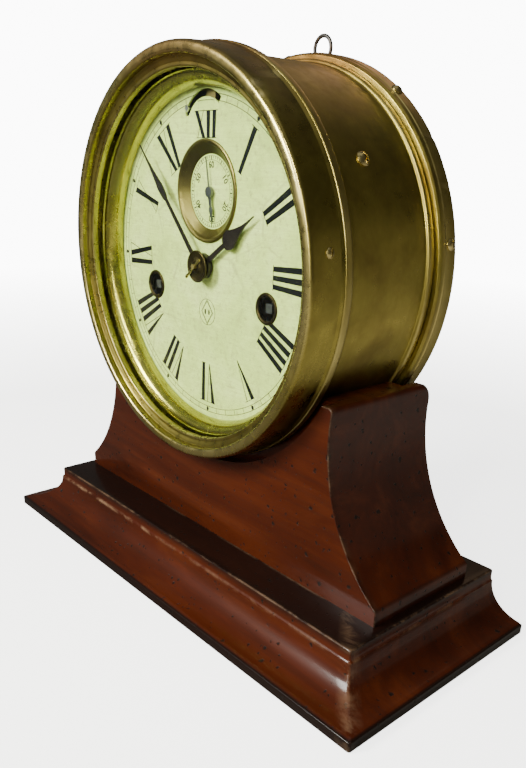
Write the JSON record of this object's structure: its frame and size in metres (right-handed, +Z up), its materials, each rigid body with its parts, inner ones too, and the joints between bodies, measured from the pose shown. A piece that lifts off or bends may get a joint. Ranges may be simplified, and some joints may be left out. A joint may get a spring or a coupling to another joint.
{
  "type": "ship's clock on a mantel base",
  "caption": "Round brass ship's clock with time and strike, hinged glazed bezel, seconds dial and hanging ring, cradled on a moulded wooden mantel base.",
  "frame": {"origin": "middle of the wooden base's footprint, on the surface it stands on", "axes": "+Z up, the dial faces -Y, +X to the right of someone facing the dial"},
  "size_m": [0.305, 0.1316, 0.2776],
  "materials": {
    "mahogany": "worn varnish",
    "case_brass": "aged, partly polished",
    "dull_brass": "dull",
    "movement_brass": "satin",
    "clear_glass": "clear",
    "dial_enamel": "aged satin",
    "blackened_steel": "blackened",
    "dark_iron": "dark, worn",
    "bright_steel": "bright"
  },
  "bodies": {
    "clock": {"plinth": "mahogany", "saddle": "mahogany", "base_screws": "bright_steel", "drum_bolts": "bright_steel", "case_barrel": "case_brass", "rear_flange": "case_brass", "back_cover": "dull_brass", "flange_screws": "case_brass", "barrel_screws": "case_brass", "mounting_ring": "dull_brass", "ring_staple": "dark_iron", "case_hinge_leaf": "case_brass", "hinge_pin": "bright_steel", "dial": "dial_enamel", "dial_feet": "dull_brass", "seconds_dial": "dial_enamel", "seconds_ring": "case_brass", "winding_eyelets": "case_brass", "front_plate": "movement_brass", "movement_back_plate": "movement_brass", "pillars": "movement_brass", "movement_screws": "bright_steel", "balance_cock": "movement_brass", "bell": "bright_steel"},
    "bezel_door": {"bezel": "case_brass", "glass": "clear_glass", "reflector_ring": "case_brass", "bezel_hinge_leaf": "case_brass", "bezel_catch": "bright_steel", "catch_screw": "case_brass"},
    "ring": {"hanging_ring": "dark_iron"},
    "seconds_arbor": {"fourth_wheel": "movement_brass", "seconds_hand": "blackened_steel"},
    "centre_arbor": {"centre_wheel": "movement_brass", "cannon_pinion": "bright_steel", "minute_hand": "blackened_steel", "hand_washer": "case_brass", "taper_pin": "case_brass"},
    "hour_pipe": {"hour_wheel": "movement_brass", "hour_hand": "blackened_steel"},
    "minute_wheel_set": {"minute_wheel": "movement_brass"},
    "third_arbor": {"third_wheel": "movement_brass"},
    "intermediate_arbor": {"intermediate_wheel": "movement_brass"},
    "time_barrel_set": {"time_barrel": "movement_brass", "time_mainspring": "bright_steel"},
    "escape_arbor": {"escape_wheel": "movement_brass"},
    "time_winding_arbor": {"time_arbor": "bright_steel"},
    "time_click_set": {"time_click": "bright_steel"},
    "pallet_fork": {"pallet_lever": "bright_steel"},
    "balance": {"balance_wheel": "movement_brass", "hairspring": "bright_steel"},
    "regulator": {"regulator_lever": "bright_steel"},
    "pin_wheel_arbor": {"pin_wheel": "movement_brass"},
    "strike_second_arbor": {"strike_second_wheel": "movement_brass"},
    "strike_barrel_set": {"strike_barrel": "movement_brass", "strike_mainspring": "bright_steel"},
    "fly_arbor": {"fly": "movement_brass"},
    "strike_winding_arbor": {"strike_arbor": "bright_steel"},
    "strike_click_set": {"strike_click": "bright_steel"},
    "hammer_arbor": {"hammer": "bright_steel"}
  },
  "joints": [
    {"name": "bezel_swing", "type": "hinge", "parent": "clock", "child": "bezel_door", "pos_m": [-0.0982, -0.0234, 0.172], "axis": [0, 0, -1], "range_deg": [0, 105]},
    {"name": "ring_fold", "type": "hinge", "parent": "clock", "child": "ring", "pos_m": [0, 0.0515, 0.2654], "axis": [-1, 0, 0], "range_deg": [0, 175]},
    {"name": "seconds_turn", "type": "hinge", "parent": "clock", "child": "seconds_arbor", "pos_m": [0, 0.007, 0.2053], "axis": [0, 1, 0], "continuous": true},
    {"name": "minutes_turn", "type": "hinge", "parent": "clock", "child": "centre_arbor", "pos_m": [0, 0.007, 0.172], "axis": [0, 1, 0], "continuous": true},
    {"name": "hours_turn", "type": "hinge", "parent": "clock", "child": "hour_pipe", "pos_m": [0, -0.019, 0.172], "axis": [0, 1, 0], "continuous": true},
    {"name": "minute_wheel_turn", "type": "hinge", "parent": "clock", "child": "minute_wheel_set", "pos_m": [0, -0.012, 0.1576], "axis": [0, 1, 0], "continuous": true},
    {"name": "third_wheel_turn", "type": "hinge", "parent": "clock", "child": "third_arbor", "pos_m": [0.01541, 0.007, 0.19194], "axis": [0, 1, 0], "continuous": true},
    {"name": "intermediate_turn", "type": "hinge", "parent": "clock", "child": "intermediate_arbor", "pos_m": [0.01155, 0.007, 0.15024], "axis": [0, 1, 0], "continuous": true},
    {"name": "time_barrel_turn", "type": "hinge", "parent": "clock", "child": "time_barrel_set", "pos_m": [0.0447, 0, 0.1578], "axis": [0, 1, 0], "continuous": true},
    {"name": "escape_turn", "type": "hinge", "parent": "clock", "child": "escape_arbor", "pos_m": [-0.0175, 0.007, 0.2095], "axis": [0, 1, 0], "continuous": true},
    {"name": "time_winding", "type": "hinge", "parent": "clock", "child": "time_winding_arbor", "pos_m": [0.0447, 0, 0.1578], "axis": [0, 1, 0], "range_deg": [0, 1260]},
    {"name": "time_click_lift", "type": "hinge", "parent": "clock", "child": "time_click_set", "pos_m": [0.0502, -0.0095, 0.1733], "axis": [0, -1, 0], "range_deg": [0, 12]},
    {"name": "pallet_rock", "type": "hinge", "parent": "clock", "child": "pallet_fork", "pos_m": [-0.00986, -0.0105, 0.21823], "axis": [0, 1, 0], "range_deg": [-5, 5]},
    {"name": "balance_swing", "type": "hinge", "parent": "clock", "child": "balance", "pos_m": [0, -0.012, 0.2295], "axis": [0, 1, 0], "range_deg": [-135, 135], "stiffness_Nm_per_rad": 0.000046},
    {"name": "regulator_adjust", "type": "hinge", "parent": "clock", "child": "regulator", "pos_m": [0, -0.0188, 0.2295], "axis": [0, 1, 0], "range_deg": [0, 80]},
    {"name": "pin_wheel_turn", "type": "hinge", "parent": "clock", "child": "pin_wheel_arbor", "pos_m": [-0.04516, 0.007, 0.19944], "axis": [0, 1, 0], "continuous": true},
    {"name": "strike_second_turn", "type": "hinge", "parent": "clock", "child": "strike_second_arbor", "pos_m": [-0.02796, 0.007, 0.18739], "axis": [0, 1, 0], "continuous": true},
    {"name": "strike_barrel_turn", "type": "hinge", "parent": "clock", "child": "strike_barrel_set", "pos_m": [-0.0447, 0, 0.1578], "axis": [0, 1, 0], "continuous": true},
    {"name": "fly_turn", "type": "hinge", "parent": "clock", "child": "fly_arbor", "pos_m": [-0.04766, 0.007, 0.21362], "axis": [0, 1, 0], "continuous": true},
    {"name": "strike_winding", "type": "hinge", "parent": "clock", "child": "strike_winding_arbor", "pos_m": [-0.0447, 0, 0.1578], "axis": [0, 1, 0], "range_deg": [0, 1260]},
    {"name": "strike_click_lift", "type": "hinge", "parent": "clock", "child": "strike_click_set", "pos_m": [-0.0392, -0.0095, 0.1733], "axis": [0, -1, 0], "range_deg": [0, 12]},
    {"name": "hammer_strike", "type": "hinge", "parent": "clock", "child": "hammer_arbor", "pos_m": [-0.068, 0.014, 0.192], "axis": [0, 1, 0], "range_deg": [-16, 0]}
  ],
  "couplings": [
    {"joint": "minutes_turn", "follows": "seconds_turn", "ratio": 0.016667},
    {"joint": "hours_turn", "follows": "seconds_turn", "ratio": 0.0013889},
    {"joint": "minute_wheel_turn", "follows": "seconds_turn", "ratio": -0.0055556},
    {"joint": "third_wheel_turn", "follows": "seconds_turn", "ratio": -0.13333},
    {"joint": "intermediate_turn", "follows": "seconds_turn", "ratio": -0.002381},
    {"joint": "time_barrel_turn", "follows": "seconds_turn", "ratio": 0.00026455},
    {"joint": "escape_turn", "follows": "seconds_turn", "ratio": -8},
    {"joint": "strike_second_turn", "follows": "pin_wheel_turn", "ratio": -0.16667},
    {"joint": "strike_barrel_turn", "follows": "pin_wheel_turn", "ratio": 0.018519},
    {"joint": "fly_turn", "follows": "pin_wheel_turn", "ratio": -5}
  ]
}
